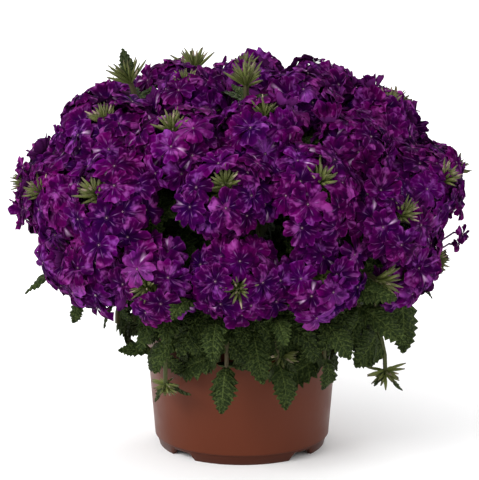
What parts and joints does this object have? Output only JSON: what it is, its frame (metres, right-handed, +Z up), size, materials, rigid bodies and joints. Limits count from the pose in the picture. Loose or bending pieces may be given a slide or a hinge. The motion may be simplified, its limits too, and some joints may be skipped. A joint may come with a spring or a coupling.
{
  "type": "potted garden verbena in full flower in a round nursery pot",
  "caption": "Garden verbena in full deep purple flower over toothed green leaves, growing in a round terracotta-coloured plastic nursery pot",
  "frame": {"origin": "middle of the pot's feet, on the surface that the pot stands on", "axes": "+Z up along the pot's axis, -Y towards the front of the plant, +X to its right"},
  "size_m": [0.2954, 0.2923, 0.262],
  "materials": {
    "pot_plastic": "moulded, satin",
    "potting_soil": "crumbly, matte",
    "petals": "velvety",
    "leaves": "wrinkled, matte"
  },
  "bodies": {
    "root": {"pot": "pot_plastic", "soil": "potting_soil", "head_01": "petals", "head_02": "petals", "head_03": "petals", "head_04": "petals", "head_05": "petals", "head_06": "petals", "head_07": "petals", "head_08": "petals", "head_09": "petals", "head_10": "petals", "head_11": "petals", "head_12": "petals", "head_13": "petals", "head_14": "petals", "head_15": "petals", "head_16": "petals", "head_17": "petals", "head_18": "petals", "head_19": "petals", "head_20": "petals", "head_21": "petals", "head_22": "petals", "head_23": "petals", "head_24": "petals", "head_25": "petals", "head_26": "petals", "head_27": "petals", "head_28": "petals", "head_29": "petals", "head_30": "petals", "head_31": "petals", "head_32": "petals", "head_33": "petals", "head_34": "petals", "head_35": "petals", "head_36": "petals", "head_37": "petals", "head_38": "petals", "head_39": "petals", "head_40": "petals", "head_41": "petals", "head_42": "petals", "head_43": "petals", "head_44": "petals", "stem_01": "leaves", "stem_02": "leaves", "stem_03": "leaves", "stem_04": "leaves", "stem_05": "leaves", "stem_06": "leaves", "stem_07": "leaves", "stem_08": "leaves", "stem_09": "leaves", "stem_10": "leaves", "stem_11": "leaves", "stem_12": "leaves", "stem_13": "leaves", "stem_14": "leaves"}
  },
  "joints": []
}
